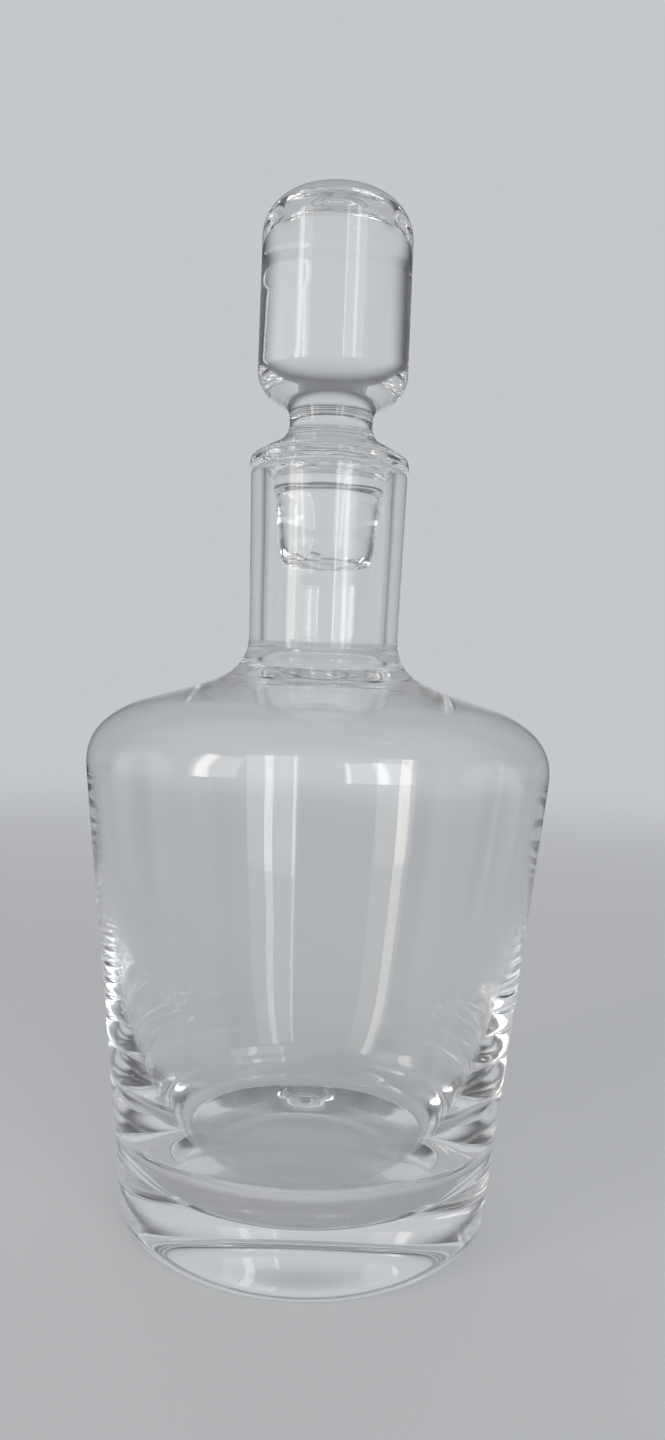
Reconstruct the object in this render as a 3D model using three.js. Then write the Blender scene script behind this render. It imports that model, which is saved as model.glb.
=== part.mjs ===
// Glass decanter: a heavy-based blown bottle with a solid glass stopper.
// Millimetres, +Z up. The origin is the middle of the ring that the bottle stands on,
// and the Z axis is the axis that both pieces are turned about.

import * as THREE from 'three';

// Bottle, outside
const restRadius = 43;            // outer edge of the flat ring that it stands on
const footRound = 5.2;            // rounding between that ring and the side
const widestRadius = 60.1;        // at the shoulder
const widestHeight = 117.5;
const shoulderRound = 13.3;       // from the side up to the dome
const domeStart = 40;             // degrees from level, where the dome takes over
const domeRound = 26.5;           // slacker round over the top of the shoulder
const shoulderSlope = 17;         // degrees from level, at its flattest
const sweepRound = 40.5;          // hollow sweep from there up towards the neck
const sweepEnd = 27.4;            // degrees from level, where the neck's root takes over
const neckRootRound = 10.75;      // hollow round into the neck
const blendRun = 0.5;             // short straight run between rounds that turn the same way
const neckRadius = 19.65;         // at its narrowest, just above the shoulder
const neckLength = 44.7;          // from the centre of its root's round to the rim
const rimRadius = 20.6;

// Bottle, glass thickness and inside
const neckWall = 3.8;
const shoulderWall = 1.4;         // the thinnest glass, round the shoulder
const rootThickening = 0.6;       // degrees that the shoulder's inside is flatter than its outside
const innerRootRound = 5;
const thinSide = 34;              // how far down from the shoulder the side stays thin
const bowlWall = 2.2;             // there, where it starts to thicken towards the base
const floorThickness = 11.8;      // the heavy base, at the middle of the inside
const floorRadius = 21.5;         // flat middle of the inside
const bowlSidePull = 0.9;         // how far the bowl keeps to the side, as a share of its height
const bowlFloorPull = 0.4;        // how far it keeps to the floor, as a share of its width
const puntDepth = 3;              // hollow under the base
const standWidth = 2.5;           // width of the flat ring round that hollow

// Stopper
const seatGap = 0.3;              // between the collar and the rim under it
const plugPlay = 2;               // between the plug's top and the mouth, all round
const plugTaper = 2.7;            // how much smaller in radius the plug's end is than its top
const plugLength = 25.1;
const plugEdgeRound = 1.8;
const collarOverhang = 0.3;       // past the rim
const collarEdge = 1.25;          // height of the collar's edge
const collarLowRound = 0.5;
const collarHighRound = 2;
const collarSlope = 30.5;         // degrees from level, on its upper face
const waistRadius = 10.95;
const waistLength = 1.5;
const waistLowRound = 6.2;        // hollow sweep up from the collar
const waistHighRound = 4.5;       // hollow sweep out to the head
const headSlope = 28.6;           // degrees from level, under the head
const headOverhang = 8.85;        // past the waist
const headLowRound = 8;
const headHighRound = 9.9;
const headLength = 34.25;         // straight side of the head

// Facets
const bottleSides = 72;
const stopperSides = 60;
const bowlSteps = 10;
const puntSteps = 5;
const facetError = 0.07;          // how far a facet may lie from its curve

// An outline is a path in the half plane (radius, height). It runs straight from round to
// round, touching each, and a sharp corner or an end is a round of no radius.
const LEFT = 1;
const RIGHT = -1;

function round(radiusFromAxis, height, radius, turn) {
  return { r: radiusFromAxis, z: height, bend: turn * radius, turn };
}

function corner(radiusFromAxis, height) {
  return round(radiusFromAxis, height, 0, LEFT);
}

// Direction of a run that climbs towards the axis at this many degrees from level
function inwards(slope) {
  return Math.PI - THREE.MathUtils.degToRad(slope);
}

// The round that follows after a straight run of this direction and length
function roundAfter(from, direction, run, radius, turn) {
  const bend = from.bend - turn * radius;
  return round(
    from.r + bend * Math.sin(direction) + run * Math.cos(direction),
    from.z - bend * Math.cos(direction) + run * Math.sin(direction),
    radius,
    turn,
  );
}

// How far a round of this place and size lies above the one before it, if the straight run
// between them has the given direction
function rise(from, radiusFromAxis, radius, turn, direction) {
  const bend = turn * radius - from.bend;
  const across = radiusFromAxis - from.r + bend * Math.sin(direction);
  return bend * Math.cos(direction) + across * Math.tan(direction);
}

// The round that follows in this direction, if its centre has this radius from the axis
function roundAt(from, direction, radiusFromAxis, radius, turn) {
  const height = from.z + rise(from, radiusFromAxis, radius, turn, direction);
  return round(radiusFromAxis, height, radius, turn);
}

// Direction of the straight run that touches both rounds
function heading(from, to) {
  const dr = to.r - from.r;
  const dz = to.z - from.z;
  return Math.atan2(dz, dr) - Math.asin((to.bend - from.bend) / Math.hypot(dr, dz));
}

function pointOn(item, direction) {
  return new THREE.Vector2(
    item.r + item.bend * Math.sin(direction),
    item.z - item.bend * Math.cos(direction),
  );
}

function path(rounds) {
  const points = [];
  rounds.forEach((item, index) => {
    if (item.bend === 0) {
      points.push(new THREE.Vector2(item.r, item.z));
      return;
    }
    const start = heading(rounds[index - 1], item);
    const end = heading(item, rounds[index + 1]);
    const sweep = THREE.MathUtils.euclideanModulo(item.turn * (end - start), 2 * Math.PI);
    const facet = 2 * Math.acos(1 - facetError / Math.abs(item.bend));
    const steps = Math.ceil(sweep / facet);
    for (let step = 0; step <= steps; step += 1) {
      points.push(pointOn(item, start + (item.turn * sweep * step) / steps));
    }
  });
  return points;
}

// Turns an outline, from the axis back to the axis, into a solid about Z
function turned(name, outline, sides, material) {
  const geometry = new THREE.LatheGeometry(outline, sides);
  geometry.rotateX(Math.PI / 2);
  const mesh = new THREE.Mesh(geometry, material);
  mesh.name = name;
  return mesh;
}

function clearGlass() {
  return new THREE.MeshStandardMaterial({
    color: 0xdde3e6,
    roughness: 0.05,
    metalness: 0,
    transparent: true,
    opacity: 0.4,
  });
}

// Outside of the bottle, from the foot up to the lip
const footCentre = round(restRadius, footRound, footRound, LEFT);
const shoulderCentre = round(widestRadius - shoulderRound, widestHeight, shoulderRound, LEFT);
const domeCentre = roundAfter(shoulderCentre, inwards(domeStart), blendRun, domeRound, LEFT);
const sweepCentre = sweepUnderNeck();
const neckRoot = roundAfter(sweepCentre, inwards(sweepEnd), blendRun, neckRootRound, RIGHT);
const rimHeight = neckRoot.z + neckLength;
const lipRound = neckWall / 2;                   // the lip is a full round
const lipCentre = round(rimRadius - lipRound, rimHeight - lipRound, lipRound, LEFT);

// Its distance from the axis is such that the neck's root ends at the neck's radius
function sweepUnderNeck() {
  const end = inwards(sweepEnd);
  const toRoot = roundAfter(round(0, 0, sweepRound, RIGHT), end, blendRun, neckRootRound, RIGHT);
  const radiusFromAxis = neckRadius + neckRootRound - toRoot.r;
  return roundAt(domeCentre, inwards(shoulderSlope), radiusFromAxis, sweepRound, RIGHT);
}

// Outside radius of the straight side at a height
function sideRadius(height) {
  const direction = heading(footCentre, shoulderCentre);
  const start = pointOn(footCentre, direction);
  return start.x + (height - start.y) / Math.tan(direction);
}

// Inside of the neck's root, the dome and the shoulder, on the way down
function innerShoulder() {
  const shoulder = round(shoulderCentre.r, shoulderCentre.z, shoulderRound - shoulderWall, RIGHT);
  const dome = round(domeCentre.r, domeCentre.z, domeRound - shoulderWall, RIGHT);
  const slope = THREE.MathUtils.degToRad(rootThickening - shoulderSlope);
  const root = round(neckRadius - neckWall + innerRootRound, 0, innerRootRound, LEFT);
  root.z = dome.z - rise(root, dome.r, domeRound - shoulderWall, RIGHT, slope);
  return [root, dome, shoulder];
}

// Smooth hollow under the base, from the axis to the ring that the bottle stands on
function punt() {
  const radius = restRadius - standWidth;
  const points = [];
  for (let step = 0; step <= puntSteps; step += 1) {
    const share = step / puntSteps;
    points.push(new THREE.Vector2(radius * share, puntDepth * (1 - share ** 2) ** 2));
  }
  return points;
}

// Inside of the base: it leaves the side in the side's own direction and ends level
function bowl(top, direction) {
  const sidePull = bowlSidePull * (top.z - floorThickness);
  const floorPull = bowlFloorPull * (top.r - floorRadius);
  const curve = new THREE.CubicBezierCurve(
    new THREE.Vector2(top.r, top.z),
    new THREE.Vector2(top.r + sidePull * Math.cos(direction), top.z + sidePull * Math.sin(direction)),
    new THREE.Vector2(floorRadius + floorPull, floorThickness),
    new THREE.Vector2(floorRadius, floorThickness),
  );
  return curve.getPoints(bowlSteps);
}

function bottle() {
  const standEdge = corner(restRadius - standWidth, 0);
  const inner = innerShoulder();
  const bowlTopHeight = widestHeight - thinSide;
  const bowlTop = corner(sideRadius(bowlTopHeight) - bowlWall, bowlTopHeight);
  const wall = path([
    standEdge,
    footCentre,
    shoulderCentre,
    domeCentre,
    sweepCentre,
    neckRoot,
    lipCentre,
    ...inner,
    bowlTop,
  ]);
  const outline = [
    ...punt(),
    ...wall.slice(1, -1),
    ...bowl(bowlTop, heading(inner.at(-1), bowlTop)),
    new THREE.Vector2(0, floorThickness),
  ];
  return turned('bottle', outline, bottleSides, clearGlass());
}

function stopper() {
  const underside = rimHeight + seatGap;
  const plugEnd = underside - plugLength;
  const plugEndRadius = rimRadius - neckWall - plugPlay - plugTaper;
  const seatRound = plugPlay + lipRound;
  const collarRadius = rimRadius + collarOverhang;
  const collarTop = round(
    collarRadius - collarHighRound,
    underside + collarEdge,
    collarHighRound,
    LEFT,
  );
  const waistLow = roundAt(
    collarTop,
    inwards(collarSlope),
    waistRadius + waistLowRound,
    waistLowRound,
    RIGHT,
  );
  const waistHigh = round(
    waistRadius + waistHighRound,
    waistLow.z + waistLength,
    waistHighRound,
    RIGHT,
  );
  const headRadius = waistRadius + headOverhang;
  const headLow = roundAt(
    waistHigh,
    THREE.MathUtils.degToRad(headSlope),
    headRadius - headLowRound,
    headLowRound,
    LEFT,
  );
  const headHigh = round(
    headRadius - headHighRound,
    headLow.z + headLength,
    headHighRound,
    LEFT,
  );
  const outline = path([
    corner(0, plugEnd),
    round(plugEndRadius - plugEdgeRound, plugEnd + plugEdgeRound, plugEdgeRound, LEFT),
    round(lipCentre.r, underside - seatRound, seatRound, RIGHT),
    round(collarRadius - collarLowRound, underside + collarLowRound, collarLowRound, LEFT),
    collarTop,
    waistLow,
    waistHigh,
    headLow,
    headHigh,
    corner(0, headHigh.z + headHighRound),
  ]);
  return turned('stopper', outline, stopperSides, clearGlass());
}

const decanter = new THREE.Group();
decanter.name = 'decanter';
decanter.add(bottle());
decanter.add(stopper());

export default decanter;
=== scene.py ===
"""Looks of the glass decanter: both glass pieces as fine turned meshes, their glass, and the studio."""

from collections import namedtuple
import math
import bmesh
import bpy
from mathutils import Matrix, Vector, noise

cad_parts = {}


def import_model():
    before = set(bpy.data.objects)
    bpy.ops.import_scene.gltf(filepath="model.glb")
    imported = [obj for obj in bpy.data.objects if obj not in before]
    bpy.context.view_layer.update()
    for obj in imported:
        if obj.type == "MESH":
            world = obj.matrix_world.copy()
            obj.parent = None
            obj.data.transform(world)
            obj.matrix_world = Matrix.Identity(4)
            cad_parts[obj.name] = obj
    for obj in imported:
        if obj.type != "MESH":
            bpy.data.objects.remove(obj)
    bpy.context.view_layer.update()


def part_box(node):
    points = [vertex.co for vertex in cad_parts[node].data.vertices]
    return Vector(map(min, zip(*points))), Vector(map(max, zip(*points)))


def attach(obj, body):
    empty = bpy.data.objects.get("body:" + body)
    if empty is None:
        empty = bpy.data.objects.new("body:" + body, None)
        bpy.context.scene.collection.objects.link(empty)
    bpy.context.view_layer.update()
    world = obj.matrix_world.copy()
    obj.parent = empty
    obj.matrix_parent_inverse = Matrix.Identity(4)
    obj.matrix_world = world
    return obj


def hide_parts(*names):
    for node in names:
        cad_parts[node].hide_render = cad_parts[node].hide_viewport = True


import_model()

MM = 0.001
_, bottle_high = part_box("bottle")
stopper_low, stopper_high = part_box("stopper")

# Camera: level with the top of the shoulder, about one decanter's height away, rolled a little
VIEW_DISTANCE = 260 * MM
VIEW_HEIGHT = 134.8 * MM
VIEW_ASIDE = 3.24 * MM
VIEW_PITCH = math.radians(1.286)
VIEW_ROLL = math.radians(2.138)
SENSOR_LONG_SIDE = 36
LENS = 24.5
NEAREST_SEEN = 10 * MM

# Bottle, outside, in millimetres. The box of the bottle gives the first two
WIDEST_RADIUS = bottle_high.x / MM
RIM_HEIGHT = bottle_high.z / MM
REST_RADIUS = 43              # outer edge of the flat ring that it stands on
FOOT_ROUND = 5.2
WIDEST_HEIGHT = 117.5
SHOULDER_ROUND = 13.3
DOME_START = math.radians(40)
DOME_ROUND = 26.5
SHOULDER_SLOPE = math.radians(17)
SWEEP_ROUND = 40.5
SWEEP_END = math.radians(27.4)
NECK_ROOT_ROUND = 10.75
NECK_RADIUS = 19.65
RIM_RADIUS = 20.6
BLEND_RUN = 0.5               # short straight run between rounds that turn the same way

# Bottle, inside
NECK_WALL = 3.8
SHOULDER_WALL = 1.4
ROOT_THICKENING = math.radians(0.6)
INNER_ROOT_ROUND = 5
THIN_SIDE = 34                # how far down from the shoulder the side stays thin
BOWL_WALL = 2.2               # at that height, where it starts to thicken
FLOOR_THICKNESS = 11.8
FLOOR_RADIUS = 21.5           # flat middle of the inside
BOWL_SIDE_PULL = 0.9          # how far the bowl keeps to the side, as a share of its height
BOWL_FLOOR_PULL = 0.4         # how far it keeps to the floor, as a share of its width
PUNT_DEPTH = 3                # hollow under the base
STAND_WIDTH = 2.5             # flat ring round that hollow

# Stopper. Its box gives the first three
PLUG_END = stopper_low.z / MM
HEAD_TOP = stopper_high.z / MM
COLLAR_RADIUS = stopper_high.x / MM
SEAT_GAP = 0.3                # between the collar and the rim under it
UNDERSIDE = RIM_HEIGHT + SEAT_GAP
PLUG_END_RADIUS = 12.1
PLUG_EDGE_ROUND = 1.8
SEAT_ROUND = 3.9
COLLAR_EDGE = 1.25
COLLAR_LOW_ROUND = 0.5
COLLAR_HIGH_ROUND = 2
WAIST_RADIUS = 10.95
WAIST_LOW = 206.3             # height of the centre of the hollow round above the collar
WAIST_HIGH = 207.8            # and of the one under the head
WAIST_LOW_ROUND = 6.2
WAIST_HIGH_ROUND = 4.5
HEAD_RADIUS = 19.8
HEAD_LOW = 220.05             # height of the centre of the head's lower round
HEAD_LOW_ROUND = 8
HEAD_HIGH_ROUND = 9.9

# Fineness of the meshes
SIDES = 256
ARC_STEP = math.radians(4)    # longest step round a bend
RUN_STEP = 0.6                # longest step along an outline
FEWEST_STEPS = 3              # round a bend
BOWL_STEPS = 150
SOFTENING = 18                # passes over the bottle's outline
SOFT_FROM = 20                # height where they start
SOFT_BELOW_RIM = 10           # and how far below the rim they end
LIP_OVERRUN = 1               # how far past the top of the lip an outline is aimed before it is cut
ON_AXIS = 1e-9                # a radius below this is on the axis

# Marks of the making, in millimetres
WAVE_HEIGHT = 0.05            # slow unevenness of the blown surfaces
INNER_WAVE_HEIGHT = 0.1
WAVE_SIZE = 24
TOOL_MARK_DEPTH = 0.13        # level scratches of the tool round the root of the neck
TOOL_MARK_HEIGHT = 0.9
TOOL_MARK_LENGTH = 9
CHIP_DEPTH = 1.8              # broken and melted edge of the plug's end
CHIP_SIZE = 3
CHIP_HEIGHT = 3.5
SEAT_GRAIN = 0.25             # unevenness of the collar's underside
SEAT_GRAIN_SIZE = 2.6
SEAT_GRAIN_COVER = 0.5        # the more, the less of it stays flat

# Bands that the marks lie in: where each starts, where it ends, and how softly
OUTER_WAVES = (8, 190, 8)
INNER_WAVES = (42, 188, 16)
HEAD_WAVES = (200, HEAD_TOP - 10, 6)
TOOL_MARKS = (137.5, 144, 3)
CHIPPED_RADII = (PLUG_END_RADIUS - 3, PLUG_END_RADIUS + 3, 2)
CHIPPED_HEIGHTS = (PLUG_END - CHIP_HEIGHT, PLUG_END + CHIP_HEIGHT / 2, CHIP_HEIGHT)
GRAINY_HEIGHTS = (UNDERSIDE - 2, UNDERSIDE + 0.2, 0.4)

# How far up the noise each kind of mark is read, so that no two kinds are alike
INNER_WAVES_AT = 900
SMALL_CHIPS_AT = 50
LIFT_AT = 400
GRAIN_AT = 700

# Glass
GLASS_IOR = 1.52
DEEP_TINT = (0.975, 0.984, 0.986, 1)
PALE_TINT = (0.992, 0.996, 0.997, 1)
TINT_SCALE = 60
TINT_DETAIL = 3
SMEAR_SCALE = 140
SMEAR_DETAIL = 6
SMEAR_START = 0.52            # value of the noise where smears start
SMEAR_FULL = 0.8
SPECK_SCALE = 80
SPECK_CORE = 0.01             # distance from its middle up to which a speck is fully rough
SPECK_EDGE = 0.03
DUST_ROUGHNESS = 0.4
BOTTLE_SMEAR_SHAPE = (1, 1, 0.6)              # the smaller a number, the longer they are that way
BOTTLE_SMEAR_ROUGHNESS = 0.06
STOPPER_SMEAR_SHAPE = (1.6, 1.6, 0.35)
STOPPER_SMEAR_ROUGHNESS = 0.05

# Colour of the backdrop, and brightness of the surroundings as a share of it
BACKDROP = (0.56, 0.575, 0.60)
SIDE_BRIGHTNESS = 0.06        # of the dark corners beside the object
FRONT_BRIGHTNESS = 1.15
BESIDE_BRIGHTNESS = 0.9
CEILING_BRIGHTNESS = 0.45
HIGH_BRIGHTNESS = 0.65        # share of all this that is left high up

# Directions where it changes, by how much they point aside, away from the camera, or up
BEHIND_LOW = 0.4
BEHIND_HIGH = 0.78
MIRRORED_LOW = 0.93           # behind, for what glass only mirrors
MIRRORED_HIGH = 0.999
FRONT_FULL = -0.9
FRONT_END = -0.2
BESIDE_LOW = 0.9
BESIDE_HIGH = 0.97
CEILING_LOW = 0.35
CEILING_HIGH = 0.9
HIGH_START = 0.4
HIGH_END = 0.9

# Floor, in metres
GROUND_RADIUS = 8
GROUND_SIDES = 96
GROUND_DROP = 0.0001          # below the ring that the bottle stands on
GROUND_COLOUR = (0.76, 0.76, 0.76)
GROUND_ROUGHNESS = 0.6
GROUND_SHINE = 0.2
GROUND_GLOW = 0.2
FADE_START = 0.25             # distances over which it turns into the backdrop
FADE_END = 1.4
NEAR_BRIGHTNESS = 0.8         # of that backdrop to the glass, where it is near
NEAR_END = 0.5                # distances over which it rises to full brightness
NEAR_FADED = 1.1

# Windows, which are tall lamps, in metres
WINDOW_HEIGHT = 0.45
WINDOW_LENGTH = 0.85
COOL_LIGHT = (0.95, 0.98, 1)
WARM_LIGHT = (1, 0.93, 0.82)

# Name, bearings of both edges in degrees to the right of the camera's side, distance, brightness, colour
WINDOWS = [
    ("window_right", 13, 44, 1.25, 1.2, COOL_LIGHT),
    ("window_right_pane", 28, 33, 1.2, 3, COOL_LIGHT),
    ("window_right_strip", 14, 15.5, 1.2, 3, COOL_LIGHT),
    ("window_left", -60, -36, 1.25, 1.1, WARM_LIGHT),
    ("window_left_pane", -57, -50, 1.2, 3.5, WARM_LIGHT),
]

MAX_BOUNCES = 128

# An outline turns left round an item whose bend is positive, and has a corner where bend is 0
LEFT, RIGHT = 1, -1
Round = namedtuple("Round", "radius height bend")


def round_at(radius, height, size, turn):
    """A round of the outline: its centre, and its size with the sign of the way it turns."""
    return Round(radius, height, turn * size)


def corner(radius, height):
    return round_at(radius, height, 0, LEFT)


def heading(start, end):
    """Direction of the straight run that touches both rounds."""
    across = end.radius - start.radius
    up = end.height - start.height
    return math.atan2(up, across) - math.asin((end.bend - start.bend) / math.hypot(across, up))


def point_on(item, direction):
    """Radius and height of the point of a round where the outline runs in this direction."""
    return (
        item.radius + item.bend * math.sin(direction),
        item.height - item.bend * math.cos(direction),
    )


def run_between(start, end):
    """Points from start up to, but not with, end, a small step apart."""
    steps = max(1, math.ceil(math.dist(start, end) / RUN_STEP))
    return [
        tuple(a + (b - a) * step / steps for a, b in zip(start, end))
        for step in range(steps)
    ]


def arc_points(before, item, following):
    """Points round one item of a path, from the run that reaches it to the run that leaves it."""
    if item.bend == 0:
        return [(item.radius, item.height)]
    turn = math.copysign(1, item.bend)
    start = heading(before, item)
    end = heading(item, following)
    sweep = (turn * (end - start)) % (2 * math.pi)
    length = sweep * abs(item.bend)
    steps = max(FEWEST_STEPS, math.ceil(sweep / ARC_STEP), math.ceil(length / RUN_STEP))
    return [point_on(item, start + turn * sweep * step / steps) for step in range(steps + 1)]


def path(rounds):
    """Outline in the half plane (radius, height), straight from round to round and touching each."""
    neighbours = zip([None, *rounds], rounds, [*rounds[1:], None])
    arcs = [arc_points(*three) for three in neighbours]
    points = []
    for arc, following in zip(arcs, arcs[1:]):
        points += arc[:-1] + run_between(arc[-1], following[0])
    return points + arcs[-1]


def bezier(p0, p1, p2, p3, steps):
    points = []
    for step in range(steps + 1):
        t = step / steps
        u = 1 - t
        points.append(tuple(
            u ** 3 * a + 3 * u * u * t * b + 3 * u * t * t * c + t ** 3 * d
            for a, b, c, d in zip(p0, p1, p2, p3)
        ))
    return points


def step_between(bend_from, bend_to, direction, run):
    """From one round's centre to the next one's, with a straight run of this length between them."""
    bend = bend_from - bend_to
    return (
        bend * math.sin(direction) + run * math.cos(direction),
        run * math.sin(direction) - bend * math.cos(direction),
    )


def after(item, direction, run, size, turn):
    """The round that follows after a straight run of this direction and length."""
    across, up = step_between(item.bend, turn * size, direction, run)
    return round_at(item.radius + across, item.height + up, size, turn)


def run_to_radius(item, direction, radius, bend_to):
    """Length of the straight run that brings the next round's centre to this radius."""
    bend = item.bend - bend_to
    return (radius - item.radius - bend * math.sin(direction)) / math.cos(direction)


def sweep_under_neck(dome):
    """The hollow sweep, so far from the axis that the neck's root ends at the neck's radius."""
    end = math.pi - SWEEP_END
    across, _ = step_between(RIGHT * SWEEP_ROUND, RIGHT * NECK_ROOT_ROUND, end, BLEND_RUN)
    radius = NECK_RADIUS + NECK_ROOT_ROUND - across
    direction = math.pi - SHOULDER_SLOPE
    run = run_to_radius(dome, direction, radius, RIGHT * SWEEP_ROUND)
    return after(dome, direction, run, SWEEP_ROUND, RIGHT)


# Rounds of the bottle's outside
FOOT = round_at(REST_RADIUS, FOOT_ROUND, FOOT_ROUND, LEFT)
SHOULDER = round_at(WIDEST_RADIUS - SHOULDER_ROUND, WIDEST_HEIGHT, SHOULDER_ROUND, LEFT)
DOME = after(SHOULDER, math.pi - DOME_START, BLEND_RUN, DOME_ROUND, LEFT)
SWEEP = sweep_under_neck(DOME)
NECK_ROOT = after(SWEEP, math.pi - SWEEP_END, BLEND_RUN, NECK_ROOT_ROUND, RIGHT)
LIP_ROUND = NECK_WALL / 2
LIP = round_at(RIM_RADIUS - LIP_ROUND, RIM_HEIGHT - LIP_ROUND, LIP_ROUND, LEFT)


def softened(outline):
    """Evens out the curvature of the sides, as surface tension does in blown glass."""
    high = RIM_HEIGHT - SOFT_BELOW_RIM
    for _ in range(SOFTENING):
        middle = [
            tuple((a + 2 * b + c) / 4 for a, b, c in zip(before, point, following))
            if SOFT_FROM < point[1] < high else point
            for before, point, following in zip(outline, outline[1:], outline[2:])
        ]
        outline = [outline[0], *middle, outline[-1]]
    return outline


def punt():
    """Smooth hollow under the base, from the axis to the ring that it stands on."""
    radius = REST_RADIUS - STAND_WIDTH
    steps = math.ceil(radius / RUN_STEP)
    return [
        (radius * step / steps, PUNT_DEPTH * (1 - (step / steps) ** 2) ** 2)
        for step in range(steps)
    ]


def bottle_outside():
    """From under the base out, up the side and to the top of the lip."""
    outline = path([
        corner(REST_RADIUS - STAND_WIDTH, 0),
        FOOT,
        SHOULDER,
        DOME,
        SWEEP,
        NECK_ROOT,
        LIP,
        corner(LIP.radius - LIP_OVERRUN, RIM_HEIGHT),
    ])
    return punt() + [point for point in outline if point[0] > LIP.radius or point[1] < LIP.height]


def side_radius(height):
    """Outside radius of the straight side at a height."""
    direction = heading(FOOT, SHOULDER)
    radius, start = point_on(FOOT, direction)
    return radius + (height - start) / math.tan(direction)


def inner_shoulder():
    """Inside of the neck's root, the dome and the shoulder, on the way down."""
    shoulder = round_at(SHOULDER.radius, SHOULDER.height, SHOULDER_ROUND - SHOULDER_WALL, RIGHT)
    dome = round_at(DOME.radius, DOME.height, DOME_ROUND - SHOULDER_WALL, RIGHT)
    radius = NECK_RADIUS - NECK_WALL + INNER_ROOT_ROUND
    slope = SHOULDER_SLOPE - ROOT_THICKENING
    reach = (dome.radius - radius) * math.sin(slope) + INNER_ROOT_ROUND - dome.bend
    root = round_at(radius, dome.height + reach / math.cos(slope), INNER_ROOT_ROUND, LEFT)
    return [root, dome, shoulder]


def bowl(top, direction):
    """Inside of the base: it leaves the side in the side's own direction and ends level."""
    side_pull = BOWL_SIDE_PULL * (top.height - FLOOR_THICKNESS)
    floor_pull = BOWL_FLOOR_PULL * (top.radius - FLOOR_RADIUS)
    return bezier(
        (top.radius, top.height),
        (top.radius + side_pull * math.cos(direction), top.height + side_pull * math.sin(direction)),
        (FLOOR_RADIUS + floor_pull, FLOOR_THICKNESS),
        (FLOOR_RADIUS, FLOOR_THICKNESS),
        BOWL_STEPS,
    )


def bottle_inside():
    """From the top of the lip down the neck and round the bowl to the axis."""
    bowl_height = WIDEST_HEIGHT - THIN_SIDE
    bowl_top = corner(side_radius(bowl_height) - BOWL_WALL, bowl_height)
    shoulder = inner_shoulder()
    wall = path([corner(LIP.radius + LIP_OVERRUN, RIM_HEIGHT), LIP, *shoulder, bowl_top])
    wall = [point for point in wall if point[0] <= LIP.radius or point[1] < LIP.height]
    curve = bowl(bowl_top, heading(shoulder[-1], bowl_top))
    middle = (0, FLOOR_THICKNESS)
    return wall[:-1] + curve[:-1] + run_between(curve[-1], middle) + [middle]


def stopper_outline():
    """From the middle of the plug's end out, up the collar, waist and head, and back to the axis."""
    return path([
        corner(0, PLUG_END),
        round_at(
            PLUG_END_RADIUS - PLUG_EDGE_ROUND, PLUG_END + PLUG_EDGE_ROUND, PLUG_EDGE_ROUND, LEFT
        ),
        round_at(LIP.radius, UNDERSIDE - SEAT_ROUND, SEAT_ROUND, RIGHT),
        round_at(
            COLLAR_RADIUS - COLLAR_LOW_ROUND, UNDERSIDE + COLLAR_LOW_ROUND, COLLAR_LOW_ROUND, LEFT
        ),
        round_at(
            COLLAR_RADIUS - COLLAR_HIGH_ROUND, UNDERSIDE + COLLAR_EDGE, COLLAR_HIGH_ROUND, LEFT
        ),
        round_at(WAIST_RADIUS + WAIST_LOW_ROUND, WAIST_LOW, WAIST_LOW_ROUND, RIGHT),
        round_at(WAIST_RADIUS + WAIST_HIGH_ROUND, WAIST_HIGH, WAIST_HIGH_ROUND, RIGHT),
        round_at(HEAD_RADIUS - HEAD_LOW_ROUND, HEAD_LOW, HEAD_LOW_ROUND, LEFT),
        round_at(HEAD_RADIUS - HEAD_HIGH_ROUND, HEAD_TOP - HEAD_HIGH_ROUND, HEAD_HIGH_ROUND, LEFT),
        corner(0, HEAD_TOP),
    ])


def ring_of(mesh, index, radius, height, shape):
    """Vertices of one outline point all round, or its only one on the axis."""
    if radius < ON_AXIS:
        return [mesh.verts.new(Vector(shape(index, 0, 0, height)) * MM)]
    ring = []
    for side in range(SIDES):
        angle = 2 * math.pi * side / SIDES
        place = shape(index, radius * math.cos(angle), radius * math.sin(angle), height)
        ring.append(mesh.verts.new(Vector(place) * MM))
    return ring


def join_rings(mesh, low, high):
    for side in range(SIDES):
        other = (side + 1) % SIDES
        if len(low) == 1:
            mesh.faces.new((low[0], high[other], high[side]))
        elif len(high) == 1:
            mesh.faces.new((low[side], low[other], high[0]))
        else:
            mesh.faces.new((low[side], low[other], high[other], high[side]))


def turned(name, outline, shape):
    """Turns an outline about Z. shape moves a point (x, y, z) of outline point number index."""
    mesh = bmesh.new()
    rings = [
        ring_of(mesh, index, radius, height, shape)
        for index, (radius, height) in enumerate(outline)
    ]
    for low, high in zip(rings, rings[1:]):
        join_rings(mesh, low, high)
    bmesh.ops.recalc_face_normals(mesh, faces=mesh.faces)
    data = bpy.data.meshes.new(name)
    mesh.to_mesh(data)
    mesh.free()
    data.polygons.foreach_set("use_smooth", [True] * len(data.polygons))
    piece = bpy.data.objects.new(name, data)
    bpy.context.scene.collection.objects.link(piece)
    return piece


def in_band(value, low, high, soft):
    """1 between low and high, fading to 0 over soft at both ends."""
    rising = min(1, max(0, (value - low) / soft + 0.5))
    falling = min(1, max(0, (high - value) / soft + 0.5))
    fade = min(rising, falling)
    return fade * fade * (3 - 2 * fade)


def wave(x, y, z, size):
    return noise.noise(Vector((x, y, z)) / size)


def tool_mark(x, y, z):
    """Noise stretched round the neck. Only its hollows count, as scratches."""
    return min(0, noise.noise(Vector((
        x / TOOL_MARK_LENGTH,
        y / TOOL_MARK_LENGTH,
        z / TOOL_MARK_HEIGHT,
    ))))


def pushed_out(x, y, distance):
    radius = math.hypot(x, y)
    if radius < ON_AXIS:
        return x, y
    return x * (1 + distance / radius), y * (1 + distance / radius)


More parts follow.
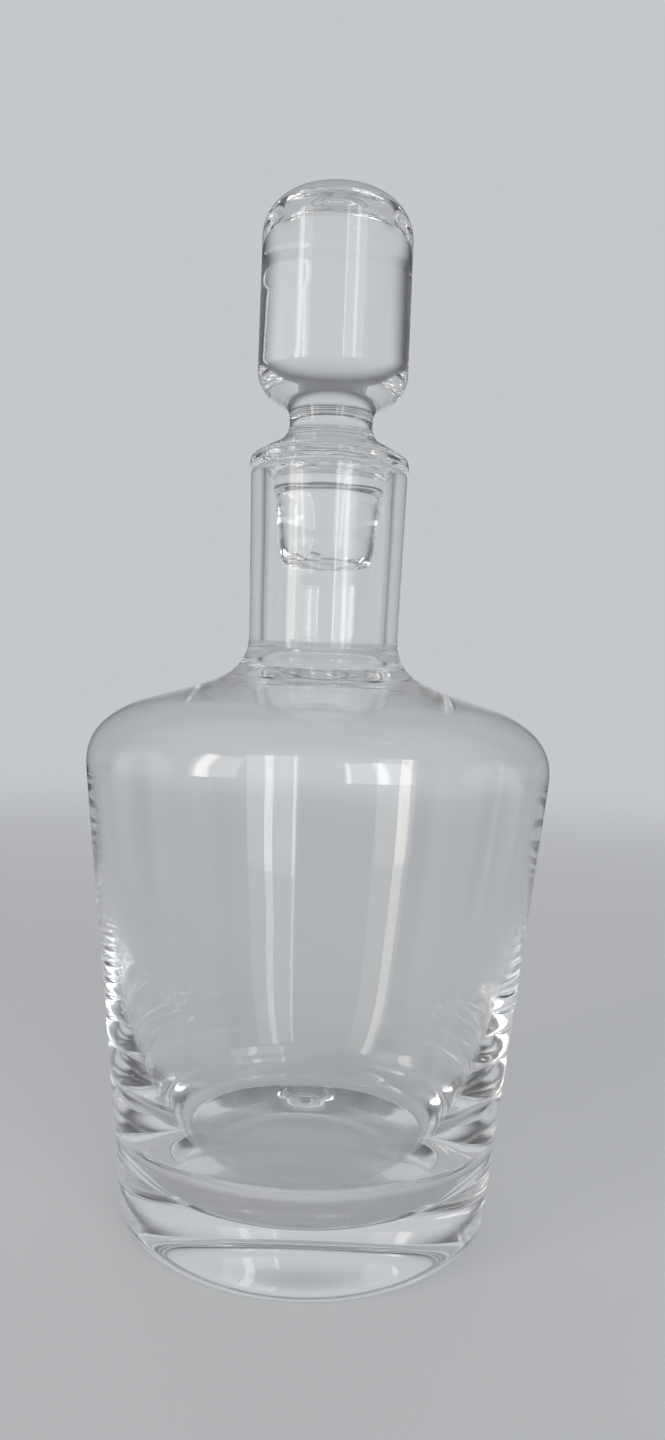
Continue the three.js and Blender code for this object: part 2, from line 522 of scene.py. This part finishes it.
def bottle():
    outside = softened(bottle_outside())
    inside = softened(bottle_inside())

    def shape(index, x, y, z):
        if index < len(outside):
            waves = in_band(z, *OUTER_WAVES) * WAVE_HEIGHT * (wave(x, y, z, WAVE_SIZE) - 1)
            scratches = in_band(z, *TOOL_MARKS) * TOOL_MARK_DEPTH * tool_mark(x, y, z)
            return *pushed_out(x, y, waves + scratches), z
        waves = INNER_WAVE_HEIGHT * wave(x, y, z + INNER_WAVES_AT, WAVE_SIZE)
        return *pushed_out(x, y, in_band(z, *INNER_WAVES) * waves), z

    return turned("bottle_glass", outside + inside, shape)


def stopper():
    def shape(index, x, y, z):
        chipped = in_band(math.hypot(x, y), *CHIPPED_RADII) * in_band(z, *CHIPPED_HEIGHTS)
        small_chips = wave(x, y, z + SMALL_CHIPS_AT, CHIP_SIZE / 2) / 2
        chip = chipped * CHIP_DEPTH * (wave(x, y, z, CHIP_SIZE) + small_chips)
        lift = chipped * CHIP_DEPTH * max(0, wave(x, y, z + LIFT_AT, CHIP_SIZE))
        grain = SEAT_GRAIN * (SEAT_GRAIN_COVER + wave(x, y, z + GRAIN_AT, SEAT_GRAIN_SIZE))
        grain = in_band(z, *GRAINY_HEIGHTS) * max(0, grain)
        waves = in_band(z, *HEAD_WAVES) * WAVE_HEIGHT * (wave(x, y, z, WAVE_SIZE) - 1)
        return *pushed_out(x, y, waves + min(0, chip)), z + lift + grain

    return turned("stopper_glass", stopper_outline(), shape)


def add_node(tree, kind, inputs=None, **settings):
    """Adds a node. inputs maps a socket's name or number to a value or to the socket that feeds it."""
    node = tree.nodes.new(kind)
    for key, value in settings.items():
        setattr(node, key, value)
    for key, value in (inputs or {}).items():
        if isinstance(value, bpy.types.NodeSocket):
            tree.links.new(value, node.inputs[key])
        else:
            node.inputs[key].default_value = value
    return node


def maths(tree, operation, *values):
    return add_node(tree, "ShaderNodeMath", dict(enumerate(values)), operation=operation).outputs[0]


def ramp(tree, value, low, high, at_low, at_high):
    """Smooth step of value, from at_low at low to at_high at high."""
    return add_node(tree, "ShaderNodeMapRange", {
        "Value": value,
        "From Min": low,
        "From Max": high,
        "To Min": at_low,
        "To Max": at_high,
    }, interpolation_type="SMOOTHSTEP").outputs["Result"]


def uneven_tint(tree, place):
    cords = add_node(tree, "ShaderNodeTexNoise", {
        "Vector": place,
        "Scale": TINT_SCALE,
        "Detail": TINT_DETAIL,
    })
    tint = add_node(tree, "ShaderNodeMix", {
        "Factor": cords.outputs["Fac"],
        "A": DEEP_TINT,
        "B": PALE_TINT,
    }, data_type="RGBA")
    return tint.outputs["Result"]


def smears(tree, place, shape, roughness):
    stretched = add_node(tree, "ShaderNodeMapping", {"Vector": place, "Scale": shape})
    smear = add_node(tree, "ShaderNodeTexNoise", {
        "Vector": stretched.outputs["Vector"],
        "Scale": SMEAR_SCALE,
        "Detail": SMEAR_DETAIL,
    })
    return ramp(tree, smear.outputs["Fac"], SMEAR_START, SMEAR_FULL, 0, roughness)


def dust(tree, place):
    specks = add_node(tree, "ShaderNodeTexVoronoi", {"Vector": place, "Scale": SPECK_SCALE})
    return ramp(tree, specks.outputs["Distance"], SPECK_CORE, SPECK_EDGE, DUST_ROUGHNESS, 0)


def clear_glass(name, smear_shape, smear_roughness):
    """Clear glass with a faint uneven tint, smears from hands and a few specks of dust."""
    glass = bpy.data.materials.new(name)
    glass.use_nodes = True
    tree = glass.node_tree
    shader = tree.nodes["Principled BSDF"]
    shader.inputs["Transmission Weight"].default_value = 1
    shader.inputs["IOR"].default_value = GLASS_IOR
    place = add_node(tree, "ShaderNodeTexCoord").outputs["Object"]
    tree.links.new(uneven_tint(tree, place), shader.inputs["Base Color"])
    smeared = smears(tree, place, smear_shape, smear_roughness)
    tree.links.new(maths(tree, "MAXIMUM", smeared, dust(tree, place)), shader.inputs["Roughness"])
    return glass


def bottle_glass():
    return clear_glass("bottle_glass", BOTTLE_SMEAR_SHAPE, BOTTLE_SMEAR_ROUGHNESS)


def stopper_glass():
    return clear_glass("stopper_glass", STOPPER_SMEAR_SHAPE, STOPPER_SMEAR_ROUGHNESS)


def brightness_behind(tree, away):
    """Pale behind the object. What glass only mirrors is pale in a narrower part of that."""
    behind = ramp(tree, away, BEHIND_LOW, BEHIND_HIGH, SIDE_BRIGHTNESS, 1)
    mirrored = ramp(tree, away, MIRRORED_LOW, MIRRORED_HIGH, SIDE_BRIGHTNESS, 1)
    rays = add_node(tree, "ShaderNodeLightPath").outputs
    only_mirrored = maths(tree, "SUBTRACT", rays["Is Glossy Ray"], rays["Is Transmission Ray"])
    mirrored = maths(tree, "MAXIMUM", mirrored, maths(tree, "SUBTRACT", 1, only_mirrored))
    return maths(tree, "MINIMUM", behind, mirrored)


def brightness_all_round(tree, aside, away):
    """Brightness at eye level: pale behind, before and straight beside the object, dark between."""
    before = ramp(tree, away, FRONT_FULL, FRONT_END, FRONT_BRIGHTNESS, SIDE_BRIGHTNESS)
    aside = maths(tree, "ABSOLUTE", aside)
    beside = ramp(tree, aside, BESIDE_LOW, BESIDE_HIGH, SIDE_BRIGHTNESS, BESIDE_BRIGHTNESS)
    brightness = maths(tree, "MAXIMUM", brightness_behind(tree, away), before)
    return maths(tree, "MAXIMUM", brightness, beside)


def full_where_seen(tree, brightness):
    """Full brightness to the camera, and this brightness to everything else."""
    seen = add_node(tree, "ShaderNodeLightPath").outputs["Is Camera Ray"]
    return maths(tree, "MAXIMUM", brightness, seen)


def world():
    """Plain pale backdrop to the camera. The glass has dark corners and a dim ceiling round it."""
    room = bpy.data.worlds.new("studio")
    bpy.context.scene.world = room
    room.use_nodes = True
    tree = room.node_tree
    direction = add_node(tree, "ShaderNodeTexCoord").outputs["Generated"]
    aside, away, up = add_node(tree, "ShaderNodeSeparateXYZ", {"Vector": direction}).outputs
    ceiling = ramp(tree, up, CEILING_LOW, CEILING_HIGH, SIDE_BRIGHTNESS, CEILING_BRIGHTNESS)
    brightness = maths(tree, "MAXIMUM", brightness_all_round(tree, aside, away), ceiling)
    dimming = ramp(tree, up, HIGH_START, HIGH_END, 1, HIGH_BRIGHTNESS)
    brightness = maths(tree, "MULTIPLY", brightness, dimming)
    background = tree.nodes["Background"]
    background.inputs["Color"].default_value = (*BACKDROP, 1)
    tree.links.new(full_where_seen(tree, brightness), background.inputs["Strength"])


def backdrop_glow(tree, place, distance):
    """The backdrop's own light, for the far part of the floor."""
    direction = add_node(tree, "ShaderNodeVectorMath", {0: place}, operation="NORMALIZE")
    parts = add_node(tree, "ShaderNodeSeparateXYZ", {"Vector": direction.outputs["Vector"]}).outputs
    strength = ramp(tree, distance, NEAR_END, NEAR_FADED, NEAR_BRIGHTNESS, 1)
    all_round = brightness_all_round(tree, parts["X"], parts["Y"])
    strength = full_where_seen(tree, maths(tree, "MULTIPLY", strength, all_round))
    glow = add_node(tree, "ShaderNodeEmission", {"Color": (*BACKDROP, 1), "Strength": strength})
    return glow.outputs["Emission"]


def floor_paint():
    """Plain pale floor near the object, and the backdrop further out."""
    paint = bpy.data.materials.new("floor_paint")
    paint.use_nodes = True
    tree = paint.node_tree
    shader = tree.nodes["Principled BSDF"]
    shader.inputs["Base Color"].default_value = (*GROUND_COLOUR, 1)
    shader.inputs["Roughness"].default_value = GROUND_ROUGHNESS
    shader.inputs["Specular IOR Level"].default_value = GROUND_SHINE
    shader.inputs["Emission Color"].default_value = (*BACKDROP, 1)
    shader.inputs["Emission Strength"].default_value = GROUND_GLOW / BACKDROP[1]
    place = add_node(tree, "ShaderNodeTexCoord").outputs["Object"]
    distance = add_node(tree, "ShaderNodeVectorMath", {0: place}, operation="LENGTH").outputs["Value"]
    mix = add_node(tree, "ShaderNodeMixShader", {
        "Fac": ramp(tree, distance, FADE_START, FADE_END, 0, 1),
        1: shader.outputs["BSDF"],
        2: backdrop_glow(tree, place, distance),
    })
    tree.links.new(mix.outputs["Shader"], tree.nodes["Material Output"].inputs["Surface"])
    return paint


def floor():
    data = bpy.data.meshes.new("floor")
    mesh = bmesh.new()
    bmesh.ops.create_circle(mesh, cap_ends=True, radius=GROUND_RADIUS, segments=GROUND_SIDES)
    mesh.to_mesh(data)
    mesh.free()
    ground = bpy.data.objects.new("floor", data)
    ground.location.z = -GROUND_DROP
    bpy.context.scene.collection.objects.link(ground)
    data.materials.append(floor_paint())


def window(name, start, end, distance, brightness, colour):
    """A tall lamp between two bearings, that shines level at the object's axis."""
    middle = math.radians((start + end) / 2)
    width = 2 * distance * math.tan(math.radians((end - start) / 2))
    place = Vector((distance * math.sin(middle), -distance * math.cos(middle), WINDOW_HEIGHT))
    target = Vector((0, 0, WINDOW_HEIGHT))
    data = bpy.data.lights.new(name, "AREA")
    data.shape = "RECTANGLE"
    data.size = width
    data.size_y = WINDOW_LENGTH
    data.energy = brightness * math.pi * width * WINDOW_LENGTH
    data.color = colour
    light = bpy.data.objects.new(name, data)
    light.location = place
    light.rotation_euler = (target - place).to_track_quat("-Z", "Y").to_euler()
    bpy.context.scene.collection.objects.link(light)


def camera():
    data = bpy.data.cameras.new("camera")
    data.sensor_fit = "AUTO"
    data.sensor_width = SENSOR_LONG_SIDE
    data.lens = LENS
    data.clip_start = NEAREST_SEEN
    view = bpy.data.objects.new("camera", data)
    bpy.context.scene.collection.objects.link(view)
    place = Matrix.Translation((VIEW_ASIDE, -VIEW_DISTANCE, VIEW_HEIGHT))
    tilt = Matrix.Rotation(math.pi / 2 - VIEW_PITCH, 4, "X")
    view.matrix_world = place @ tilt @ Matrix.Rotation(VIEW_ROLL, 4, "Z")
    bpy.context.scene.camera = view


camera()
bottle_piece = bottle()
bottle_piece.data.materials.append(bottle_glass())
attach(bottle_piece, "bottle")
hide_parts("bottle")
stopper_piece = stopper()
stopper_piece.data.materials.append(stopper_glass())
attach(stopper_piece, "stopper")
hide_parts("stopper")

world()
floor()
for settings in WINDOWS:
    window(*settings)

scene = bpy.context.scene
scene.cycles.max_bounces = MAX_BOUNCES
scene.cycles.transmission_bounces = MAX_BOUNCES
scene.cycles.glossy_bounces = MAX_BOUNCES
scene.view_settings.view_transform = "Standard"
